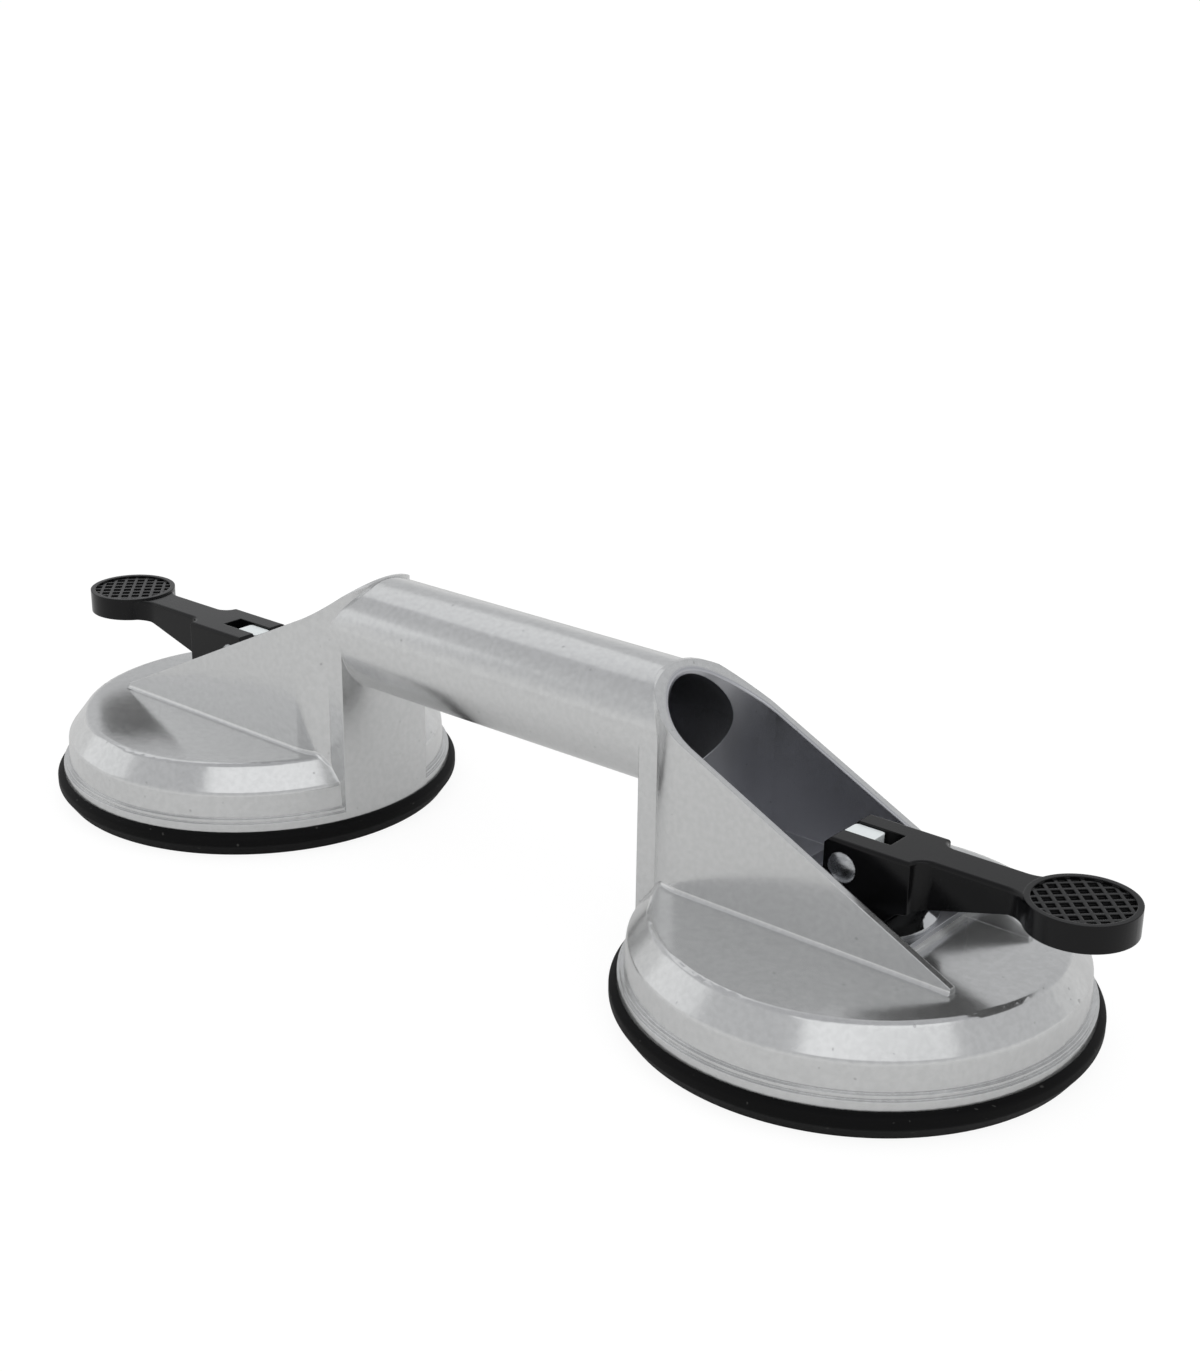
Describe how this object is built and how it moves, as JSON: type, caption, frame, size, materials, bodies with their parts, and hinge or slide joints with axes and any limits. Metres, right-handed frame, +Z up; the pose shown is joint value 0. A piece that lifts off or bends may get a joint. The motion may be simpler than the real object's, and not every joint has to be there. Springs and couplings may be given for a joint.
{
  "type": "floor tile suction lifter",
  "caption": "Cast metal tube handle between two round rubber suction pads, each locked by a black cam lever in a scooped trough.",
  "frame": {"origin": "under the middle of the handle, on the plane that the two pads rest on", "axes": "+X along the handle, +Y across it, +Z up from the pads to the handle"},
  "size_m": [0.3422, 0.115, 0.0731],
  "materials": {
    "cast_aluminium": "tumbled die casting, satin",
    "pad_rubber": "moulded, matt",
    "zinc_plated_steel": "zinc plated",
    "stem_steel": "zinc plated, bright",
    "spring_steel": "drawn wire",
    "polished_chrome": "polished",
    "rivet_steel": "domed, bright",
    "lever_plastic": "black, satin moulded"
  },
  "bodies": {
    "frame": {"body_casting": "cast_aluminium", "rubber_pad_right": "pad_rubber", "return_spring_right": "spring_steel", "spring_seat_right": "zinc_plated_steel", "wear_washer_right": "polished_chrome", "rubber_pad_left": "pad_rubber", "return_spring_left": "spring_steel", "spring_seat_left": "zinc_plated_steel", "wear_washer_left": "polished_chrome"},
    "right_stem": {"stem_right": "stem_steel", "pad_plate_right": "zinc_plated_steel", "pivot_rivet_right": "rivet_steel"},
    "right_lever": {"lever_right": "lever_plastic"},
    "left_stem": {"stem_left": "stem_steel", "pad_plate_left": "zinc_plated_steel", "pivot_rivet_left": "rivet_steel"},
    "left_lever": {"lever_left": "lever_plastic"}
  },
  "joints": [
    {"name": "right_stem_slide", "type": "slide", "parent": "frame", "child": "right_stem", "axis": [0, 0, 1], "range_m": [-0.0056, 0], "deforming": ["return_spring_right", "rubber_pad_right"]},
    {"name": "right_lever_hinge", "type": "hinge", "parent": "right_stem", "child": "right_lever", "pos_m": [0.104, 0, 0.03955], "axis": [0, -1, 0], "range_deg": [0, 90]},
    {"name": "left_stem_slide", "type": "slide", "parent": "frame", "child": "left_stem", "axis": [0, 0, 1], "range_m": [-0.0056, 0], "deforming": ["return_spring_left", "rubber_pad_left"]},
    {"name": "left_lever_hinge", "type": "hinge", "parent": "left_stem", "child": "left_lever", "pos_m": [-0.104, 0, 0.03955], "axis": [0, 1, 0], "range_deg": [0, 90]}
  ],
  "couplings": [
    {"joint": "right_stem_slide", "follows": "right_lever_hinge", "m_per_rad": -0.003565},
    {"joint": "left_stem_slide", "follows": "left_lever_hinge", "m_per_rad": -0.003565}
  ]
}
